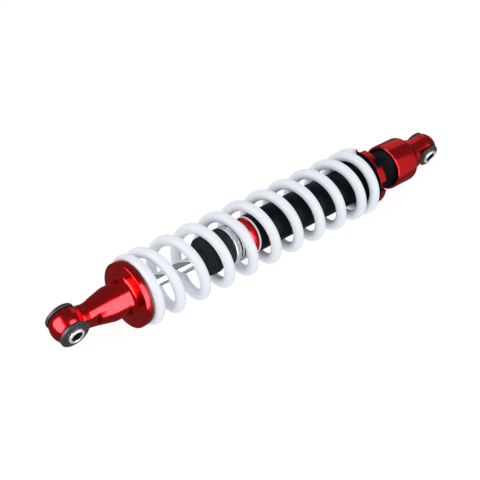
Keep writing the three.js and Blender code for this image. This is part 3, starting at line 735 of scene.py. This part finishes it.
def upper_cap():
    """Cap with the upper eye: ball, stem, shoulder and a skirt that covers the tube's thread."""
    socket_top = TUBE_TOP + GAP
    socket_low = socket_top - TUBE_SOCKET
    plug_low = socket_top - PLUG_LENGTH
    ring_at = TUBE_TOP - PLUG_LENGTH / 2
    ring_floor = BORE_FIT_R - O_RING - GAP
    ring_half = O_RING / 2 + GAP
    meets_ball = math.degrees(math.atan2(STEM_R, -math.sqrt(EYE_R**2 - STEM_R**2)))
    outline = [
        (plug_low, BORE_FIT_R),
        (ring_at - ring_half, BORE_FIT_R),
        (ring_at - ring_half, ring_floor),
        (ring_at + ring_half, ring_floor),
        (ring_at + ring_half, BORE_FIT_R),
        (socket_top, BORE_FIT_R),
        (socket_top, TUBE_R + GAP),
        (socket_low, TUBE_R + GAP),
        (socket_low, SKIRT_R - SKIRT_WALL),
        (SKIRT_MOUTH, SKIRT_R - SKIRT_WALL),
    ]
    outline += arc(SKIRT_MOUTH + MOUTH_ROUND, SKIRT_R - MOUTH_ROUND, MOUTH_ROUND, 180, 90, 8)
    outline += [(-SKIRT_TOP, SKIRT_R)]
    stem = (-SHOULDER_TOP, STEM_R)
    outline += wave((-SKIRT_TOP, SKIRT_R), stem, 14) + [stem]
    outline += arc(0, 0, EYE_R, meets_ball, EYE_TIP_DEG, 36)
    piece = turned("upper_eye_cap_forging", outline, sides=WIDE_TURNED_SIDES)
    port_mouth = (-GAS_PORT_AT, 0, -SKIRT_R)
    port_floor = (-GAS_PORT_AT, 0, -GAS_PORT_FLOOR)
    port = drill("port", GAS_SCREW_R + GAP, port_mouth, port_floor, "Z")
    cut_away(piece, *eye_cutters(UPPER_EYE, UPPER_FLAT_FROM, EYE_R + 2 * CUT_PAST), port)
    weld(piece, WELD)
    break_edges(piece, width=0.4 * MM, segments=4, angle_deg=35)
    fit(piece, "damper", "red_anodised", RED, "upper_eye_cap")


def gas_screw():
    """Slotted screw that closes the gas port."""
    low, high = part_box("gas_fill_screw")
    outline = [
        (low.z, GAS_SCREW_R - GAS_SCREW_CHAMFER),
        (low.z + GAS_SCREW_CHAMFER, GAS_SCREW_R),
        (high.z, GAS_SCREW_R),
    ]
    piece = turned("gas_fill_plug", outline, "Z", (-GAS_PORT_AT, 0, 0), sides=64)
    reach = GAS_SCREW_R + CUT_PAST
    slot = block(
        "slot",
        (-GAS_PORT_AT - reach, -GAS_SCREW_SLOT / 2, low.z - CUT_PAST),
        (-GAS_PORT_AT + reach, GAS_SCREW_SLOT / 2, low.z + GAS_SCREW_SLOT),
    )
    cut_away(piece, slot)
    break_edges(piece, width=0.1 * MM, segments=2)
    fit(piece, "damper", "sleeve_steel", STEEL, "gas_fill_screw")


# ---- damper tube, head and bump stop -------------------------------------------------------------


def damper_tube():
    """Black tube, with a real helical thread on its upper part."""
    thread_end = TUBE_TOP - THREAD_LENGTH
    root = TUBE_R - THREAD_DEPTH
    outline = [
        (TUBE_LOW, BORE_R),
        (TUBE_LOW, TUBE_R - TUBE_CHAMFER),
        (TUBE_LOW + TUBE_CHAMFER, TUBE_R),
        (thread_end - THREAD_PITCH, TUBE_R),
        (thread_end - THREAD_PITCH, root),
        (TUBE_TOP, root),
        (TUBE_TOP, BORE_R),
    ]
    tube = turned("damper_tube_body", closed(outline))
    ridge = thread_ridge(thread_end, root)
    take(tube)
    ridge.select_set(True)
    bpy.ops.object.join()
    fit(tube, "damper", "black_anodised", BLACK, "damper_tube")


def thread_ridge(start, root):
    """One continuous ridge wound up the tube."""
    turns = round((TUBE_TOP - start) / THREAD_PITCH) - 1
    clear_bench()
    bpy.ops.mesh.primitive_circle_add(vertices=4, radius=1, location=(0, 0, 0), rotation=(0, 0, 0))
    ridge = settled("thread_ridge")
    section = [
        (-THREAD_FOOT, root - THREAD_SUNK),
        (THREAD_FOOT, root - THREAD_SUNK),
        (THREAD_CREST, TUBE_R),
        (-THREAD_CREST, TUBE_R),
    ]
    for vertex, (station, radius) in zip(ridge.data.vertices, section):
        vertex.co = (start + 0.5 * THREAD_PITCH + station, 0, radius)
    bpy.ops.object.modifier_add(type="SCREW")
    screw = ridge.modifiers[-1]
    screw.axis = "X"
    screw.angle = 2 * math.pi * turns
    screw.screw_offset = THREAD_PITCH * turns
    screw.steps = THREAD_STEPS * turns
    screw.render_steps = THREAD_STEPS * turns
    screw.use_merge_vertices = False
    bpy.ops.object.modifier_apply(modifier=screw.name)
    bpy.ops.object.mode_set(mode="EDIT")
    close_up()
    bpy.ops.object.mode_set(mode="OBJECT")
    return ridge


def seal_head():
    """Red head that closes the tube's lower end, with pockets for the rod's seal and guide."""
    rim_r = outer_radius("seal_head")
    rim_face = TUBE_LOW - GAP
    ring_at = TUBE_LOW + (HEAD_TOP - TUBE_LOW) / 2
    ring_half = O_RING / 2 + GAP
    ring_floor = BORE_FIT_R - O_RING - GAP
    outline = [
        (HEAD_LOW, SEAL_POCKET_R),
        (HEAD_LOW, rim_r),
        (rim_face, rim_r),
        (rim_face, BORE_FIT_R),
        (ring_at - ring_half, BORE_FIT_R),
        (ring_at - ring_half, ring_floor),
        (ring_at + ring_half, ring_floor),
        (ring_at + ring_half, BORE_FIT_R),
        (HEAD_TOP, BORE_FIT_R),
        (HEAD_TOP, GUIDE_POCKET_R),
        (HEAD_TOP - GUIDE_POCKET, GUIDE_POCKET_R),
        (HEAD_TOP - GUIDE_POCKET, SLIDE_HOLE_R),
        (HEAD_LOW + SEAL_POCKET, SLIDE_HOLE_R),
        (HEAD_LOW + SEAL_POCKET, SEAL_POCKET_R),
    ]
    piece = turned("seal_head_ring", closed(outline))
    break_edges(piece, width=0.3 * MM)
    fit(piece, "damper", "red_anodised", RED, "seal_head")


def gland_cap():
    """Turned aluminium gland under the head, with ribs round its lower edge."""
    pocket = GLAND_LOW + WIPER_POCKET
    outline = [(GLAND_LOW, SEAL_POCKET_R), (GLAND_LOW, GLAND_R)]
    for i in range(GLAND_RINGS):
        at = GLAND_LOW + GLAND_RING * (1 + 2 * i)
        floor = GLAND_R - GLAND_GROOVE
        outline += [(at, GLAND_R), (at, floor), (at + GLAND_RING, floor), (at + GLAND_RING, GLAND_R)]
    outline += [
        (GLAND_TOP, GLAND_R),
        (GLAND_TOP, SLIDE_HOLE_R),
        (pocket, SLIDE_HOLE_R),
        (pocket, SEAL_POCKET_R),
    ]
    piece = turned("gland_cap_ribbed", closed(outline))
    break_edges(piece, width=0.25 * MM)
    fit(piece, "damper", "gland_aluminium", ALUMINIUM, "gland_cap")


def flat_ring(low, high, hole, radius):
    """The outline of a plain washer or ring."""
    return closed([(low, hole), (low, radius), (high, radius), (high, hole)])


def bump_washer():
    low, high = low_x("bump_washer"), high_x("bump_washer")
    piece = turned("bump_stop_washer", flat_ring(low, high, SLIDE_HOLE_R, GLAND_R))
    break_edges(piece, width=0.5 * MM, segments=4)
    fit(piece, "damper", "sleeve_steel", STEEL, "bump_washer")


def bump_stop():
    """Foam bump stop: rounded at its lower edge and waisted in the middle."""
    low, top = low_x("bump_stop"), high_x("bump_stop")
    radius = outer_radius("bump_stop")
    waist = top - BUMP_STOP_WAIST_AT
    r = BUMP_STOP_ROUND
    top_r = BUMP_STOP_TOP_ROUND
    outline = [
        (low + BUMP_STOP_CHAMFER, SLIDE_HOLE_R),
        (low, SLIDE_HOLE_R + BUMP_STOP_CHAMFER),
        (low, radius - r),
    ]
    outline += arc(low + r, radius - r, r, 175, 90, 12)
    below = (waist - BUMP_STOP_WAIST_HALF, radius)
    middle = (waist, radius - BUMP_STOP_WAIST)
    above = (waist + BUMP_STOP_WAIST_HALF, radius)
    outline += [below] + wave(below, middle, 8) + [middle] + wave(middle, above, 8) + [above]
    outline += arc(top - top_r, radius - top_r, top_r, 90, 0, 5)
    outline += [(top, SLIDE_HOLE_R)]
    piece = turned("bump_stop_foam", closed(outline))
    fit(piece, "damper", "bump_charcoal", FOAM, "bump_stop")


# ---- rod -----------------------------------------------------------------------------------------


def piston_rod():
    """Chromed rod, with a thinner shank for the piston."""
    shank_from = high_x("top_out_bumper")
    shank_r = ROD_R - SHANK_STEP
    outline = [
        (ROD_LOW, ROD_R - ROD_CHAMFER),
        (ROD_LOW + ROD_CHAMFER, ROD_R),
        (shank_from, ROD_R),
        (shank_from, shank_r),
        (ROD_TOP - ROD_CHAMFER, shank_r),
        (ROD_TOP, shank_r - ROD_CHAMFER),
    ]
    piece = turned("piston_rod_chromed", outline)
    fit(piece, "rod", "rod_chrome", CHROME, "piston_rod")


def lock_nut():
    """Hexagon nut that locks the rod in the lower eye, with chamfered corners."""
    low, high = low_x("rod_lock_nut"), high_x("rod_lock_nut")
    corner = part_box("rod_lock_nut")[1]
    corner_r = max(corner.z, corner.y)
    outline = [
        (low, corner_r * NUT_FACE),
        (low + NUT_CHAMFER, corner_r),
        (high - NUT_CHAMFER, corner_r),
        (high, corner_r * NUT_FACE),
    ]
    piece = turned("lock_nut_hexagon", outline)
    flat = corner_r * math.cos(math.pi / 6)
    first_deg = 0 if corner.z >= corner.y else 30
    reach = 2 * corner_r
    cutters = []
    for i in range(6):
        cutter = block("flat", (low - CUT_PAST, flat, -reach), (high + CUT_PAST, reach, reach))
        turn = math.radians(60 * i + first_deg)
        cutter.data.transform(Matrix.Rotation(turn, 4, "X"))
        cutters.append(cutter)
    hole = drill("hole", ROD_HOLE_R, (low - CUT_PAST, 0, 0), (high + CUT_PAST, 0, 0), "X")
    cut_away(piece, *cutters, hole)
    fit(piece, "rod", "sleeve_steel", STEEL, "rod_lock_nut")


def spring_washer():
    """Thin black washer between the spring and its flange, which also stands in for the dark line of
    shade along the flange's rim.
    """
    low, high = low_x("lower_spring_washer"), high_x("lower_spring_washer")
    radius = outer_radius("lower_spring_washer")
    piece = turned("spring_washer_nylon", flat_ring(low, high, SPIGOT_R + GAP, radius))
    break_edges(piece, width=0.2 * MM, segments=2)
    fit(piece, "rod", "washer_black", NYLON, "lower_spring_washer")


# ---- spring --------------------------------------------------------------------------------------


def openness(turn):
    """How far the coil has opened at a turn: 0 in the closed ends, 1 between them."""
    opening = (turn - LOWER_CLOSED) / LOWER_OPENING
    closing = (TURNS - UPPER_CLOSED - turn) / UPPER_CLOSING
    return min(max(min(opening, closing), 0), 1)


def coil_rise(rings):
    """The wire's station at each ring: what the closed ends leave, the open turns share."""
    opened = [0.0]
    for i in range(rings - 1):
        turn = (i + 0.5) / (rings - 1) * TURNS
        opened.append(opened[-1] + openness(turn) * TURNS / (rings - 1))
    low = SPRING_LOW + WIRE_R - GROUND_OFF
    span = SPRING_TOP - SPRING_LOW - 2 * (WIRE_R - GROUND_OFF)
    extra = (span - CLOSED_PITCH * TURNS) / opened[-1]
    return [low + CLOSED_PITCH * TURNS * i / (rings - 1) + extra * opened[i] for i in range(rings)]


def coil_spring():
    """Wire wound into a coil with closed ends, which are then ground flat."""
    start = math.radians(COIL_START_DEG)
    centre = Vector((0, math.cos(start), math.sin(start))) * COIL_R
    clear_bench()
    bpy.ops.mesh.primitive_circle_add(
        vertices=WIRE_SIDES, radius=WIRE_R, location=centre, rotation=(start, 0, 0)
    )
    spring = settled("coil_spring")
    steps = round(TURNS * STEPS_PER_TURN)
    bpy.ops.object.modifier_add(type="SCREW")
    winding = spring.modifiers[-1]
    winding.axis = "X"
    winding.angle = 2 * math.pi * TURNS
    winding.screw_offset = 0
    winding.steps = steps
    winding.render_steps = steps
    winding.use_merge_vertices = False
    bpy.ops.object.modifier_apply(modifier=winding.name)
    rings = len(spring.data.vertices) // WIRE_SIDES
    rise = coil_rise(rings)
    for i, vertex in enumerate(spring.data.vertices):
        vertex.co.x += rise[i // WIRE_SIDES]
    grind_ends(spring)
    take(spring)
    fit(spring, "damper", "white_powder", WHITE, "main_spring")
    follow_preload(spring)
    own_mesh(spring)


def grind_ends(spring):
    """Closes the wire's cut ends and grinds both ends of the coil flat."""
    take(spring)
    bpy.ops.object.mode_set(mode="EDIT")
    close_up()
    for station, outwards in ((SPRING_LOW, -1), (SPRING_TOP, 1)):
        bpy.ops.mesh.select_all(action="SELECT")
        bpy.ops.mesh.bisect(
            plane_co=(station, 0, 0), plane_no=(outwards, 0, 0), use_fill=True, clear_outer=True
        )
    bpy.ops.object.mode_set(mode="OBJECT")


def follow_preload(spring):
    """The upper end follows the spring seat as the preload is set, and the lower end stays."""
    group = spring.vertex_groups.new(name="preload")
    length = SPRING_TOP - SPRING_LOW
    for vertex in spring.data.vertices:
        share = min(max((vertex.co.x - SPRING_LOW) / length, 0), 1)
        group.add([vertex.index], share, "REPLACE")
    hook = spring.modifiers.new("seat", "HOOK")
    hook.object = frame["bodies"]["spring_seat"]
    hook.vertex_group = group.name


# ---- seat ring and preload collar ----------------------------------------------------------------


def seat_ring():
    """Black ring that the spring bears on, with a hub inside the coil and a coned rim."""
    low, top = low_x("spring_seat_ring"), high_x("spring_seat_ring")
    rim_low = SPRING_TOP + GAP
    rim_r = outer_radius("spring_seat_ring")
    back_r = outer_radius("preload_collar")
    outline = [
        (low, THREAD_BORE_R),
        (low, SPIGOT_R - SEAT_HUB_CHAMFER),
        (low + SEAT_HUB_CHAMFER, SPIGOT_R),
        (rim_low, SPIGOT_R),
        (rim_low, rim_r),
        (rim_low + SEAT_RIM_LAND, rim_r),
        (top, back_r),
        (top, THREAD_BORE_R),
    ]
    piece = turned("seat_ring_black", closed(outline))
    break_edges(piece, width=0.08 * MM, segments=2)
    fit(piece, "spring_seat", "black_anodised", BLACK, "spring_seat_ring")


def preload_collar():
    """Red threaded collar, castellated for a hook spanner."""
    low, top = low_x("preload_collar"), high_x("preload_collar")
    radius = outer_radius("preload_collar")
    outline = flat_ring(low, top, THREAD_BORE_R, radius)
    piece = turned("preload_collar_castellated", outline, sides=WIDE_TURNED_SIDES)
    cutters = []
    for i in range(NOTCHES):
        notch = block(
            "notch",
            (low - CUT_PAST, radius - NOTCH_DEPTH, -NOTCH_WIDTH / 2),
            (top + CUT_PAST, radius + CUT_PAST, NOTCH_WIDTH / 2),
        )
        turn = math.radians(NOTCH_DEG + 360 * i / NOTCHES)
        notch.data.transform(Matrix.Rotation(turn, 4, "X"))
        cutters.append(notch)
    cut_away(piece, *cutters)
    weld(piece, WELD)
    break_edges(piece, width=0.35 * MM, segments=4, angle_deg=35)
    fit(piece, "collar", "red_anodised", RED, "preload_collar")


for end, centre, body, sleeve_body in (
    ("upper", UPPER_EYE, "damper", "upper_bolt_sleeve"),
    ("lower", LOWER_EYE, "rod", "lower_bolt_sleeve"),
):
    bush_half(end, centre, -1, body)
    bush_half(end, centre, 1, body)
    bolt_sleeve(end, centre, sleeve_body)

lower_eye_forging()
upper_cap()
gas_screw()
damper_tube()
seal_head()
gland_cap()
bump_washer()
bump_stop()
piston_rod()
lock_nut()
spring_washer()
coil_spring()
seat_ring()
preload_collar()

INNER_FINISHES = {
    "cap_o_ring": NITRILE,
    "floating_piston": ALUMINIUM,
    "floating_piston_o_ring": NITRILE,
    "head_o_ring": NITRILE,
    "rod_guide_bush": BRONZE,
    "rod_seal": NITRILE,
    "rod_wiper": NITRILE,
    "top_out_bumper": NITRILE,
    "rebound_shims": STEEL,
    "piston": ALUMINIUM,
    "piston_band": NITRILE,
    "compression_shims": STEEL,
    "piston_nut": STEEL,
}
for node, finish in INNER_FINISHES.items():
    inner = frame["nodes"][node]
    inner.data.materials.clear()
    inner.data.materials.append(finish)

# ---- studio --------------------------------------------------------------------------------------


def studio_floor():
    """A wide white floor just under the spring, which glows so that it shows hardly any shade."""
    clear_bench()
    height = CAD_BOX[0].z - GAP
    bpy.ops.mesh.primitive_plane_add(size=12, location=(MIDDLE.x, 0, height))
    floor = settled("studio_floor")
    white = bpy.data.materials.new("studio_white")
    white.use_nodes = True
    shader = white.node_tree.nodes["Principled BSDF"]
    shader.inputs["Base Color"].default_value = (0.1, 0.1, 0.1, 1)
    shader.inputs["Roughness"].default_value = 1
    shader.inputs["Specular IOR Level"].default_value = 0
    shader.inputs["Emission Color"].default_value = (1, 1, 1, 1)
    shader.inputs["Emission Strength"].default_value = 0.93
    floor.data.materials.append(white)
    floor.visible_glossy = False


def studio_surroundings():
    """White behind the shock, softer white as its light, and grey in reflections."""
    world = bpy.data.worlds.new("studio")
    bpy.context.scene.world = world
    world.use_nodes = True
    nodes, links = world.node_tree.nodes, world.node_tree.links
    nodes.clear()
    output = nodes.new("ShaderNodeOutputWorld")
    path = nodes.new("ShaderNodeLightPath")
    soft = surrounding(nodes, (1, 1, 1), 0.80)
    mirrored = surrounding(nodes, (0.92, 0.96, 1), 0.26)
    backdrop = surrounding(nodes, (1, 1, 1), 1.0)
    reflected = nodes.new("ShaderNodeMixShader")
    links.new(path.outputs["Is Glossy Ray"], reflected.inputs["Fac"])
    links.new(soft, reflected.inputs[1])
    links.new(mirrored, reflected.inputs[2])
    seen = nodes.new("ShaderNodeMixShader")
    links.new(path.outputs["Is Camera Ray"], seen.inputs["Fac"])
    links.new(reflected.outputs["Shader"], seen.inputs[1])
    links.new(backdrop, seen.inputs[2])
    links.new(seen.outputs["Shader"], output.inputs["Surface"])


def surrounding(nodes, colour, strength):
    """One even colour all round."""
    background = nodes.new("ShaderNodeBackground")
    background.inputs["Color"].default_value = (*colour, 1)
    background.inputs["Strength"].default_value = strength
    return background.outputs["Background"]


def softbox(name, aim, direction, distance, size, power):
    """A soft light box that faces a point from a direction."""
    light = bpy.data.lights.new(name, "AREA")
    light.shape = "RECTANGLE"
    light.size, light.size_y = size
    light.energy = power
    lamp = bpy.data.objects.new(name, light)
    bpy.context.scene.collection.objects.link(lamp)
    towards = Vector(direction).normalized()
    lamp.location = Vector(aim) + towards * distance
    lamp.rotation_euler = (-towards).to_track_quat("-Z", "Y").to_euler()
    lamp.visible_camera = False
    return lamp


def lights():
    """Boxes and panels that only show as reflections, and one box that only lightens."""
    near_side = (0, -0.866, 0.5)
    low_side = (0, -0.966, 0.259)
    far_side = (0, 0.9, 0.43)
    end_side = (-0.91, 0.17, 0.38)
    over_shoulder = (-0.5, -0.3, 0.8)
    boxes = [
        softbox("front_box", (-0.06, 0, 0), near_side, distance=0.9, size=(0.70, 1.5), power=30),
        softbox("near_panel", (0.775, 0, 0), low_side, distance=0.9, size=(0.85, 1.93), power=2.2),
        softbox("far_panel", (0.85, 0, 0), far_side, distance=0.9, size=(0.7, 1.0), power=1.0),
        softbox("end_box", LOWER_EYE, end_side, distance=0.8, size=(1.2, 0.85), power=30),
    ]
    for box in boxes:
        box.visible_diffuse = False
    key = softbox("key_box", MIDDLE, over_shoulder, distance=1.2, size=(0.8, 0.8), power=2.8)
    key.visible_glossy = False


def camera():
    """Looks down on the shock from beyond its lower end, rolled a little."""
    azimuth = math.radians(CAMERA_AZIMUTH_DEG)
    elevation = math.radians(CAMERA_ELEVATION_DEG)
    roll = math.radians(CAMERA_ROLL_DEG)
    back = Vector((
        math.sin(azimuth) * math.cos(elevation),
        -math.cos(azimuth) * math.cos(elevation),
        math.sin(elevation),
    ))
    level_right = Vector((math.cos(azimuth), math.sin(azimuth), 0))
    level_up = back.cross(level_right)
    right = math.cos(roll) * level_right + math.sin(roll) * level_up
    up = math.cos(roll) * level_up - math.sin(roll) * level_right
    place = MIDDLE - CAMERA_LEFT * right - CAMERA_DOWN * up + CAMERA_BACK * back
    data = bpy.data.cameras.new("camera")
    data.lens = CAMERA_LENS
    data.sensor_width = 36
    eye = bpy.data.objects.new("camera", data)
    bpy.context.scene.collection.objects.link(eye)
    turn = Matrix((right, up, back)).transposed().to_4x4()
    eye.matrix_world = Matrix.Translation(place) @ turn
    bpy.context.scene.camera = eye


studio_floor()
studio_surroundings()
lights()
camera()
bpy.context.scene.view_settings.view_transform = "Standard"
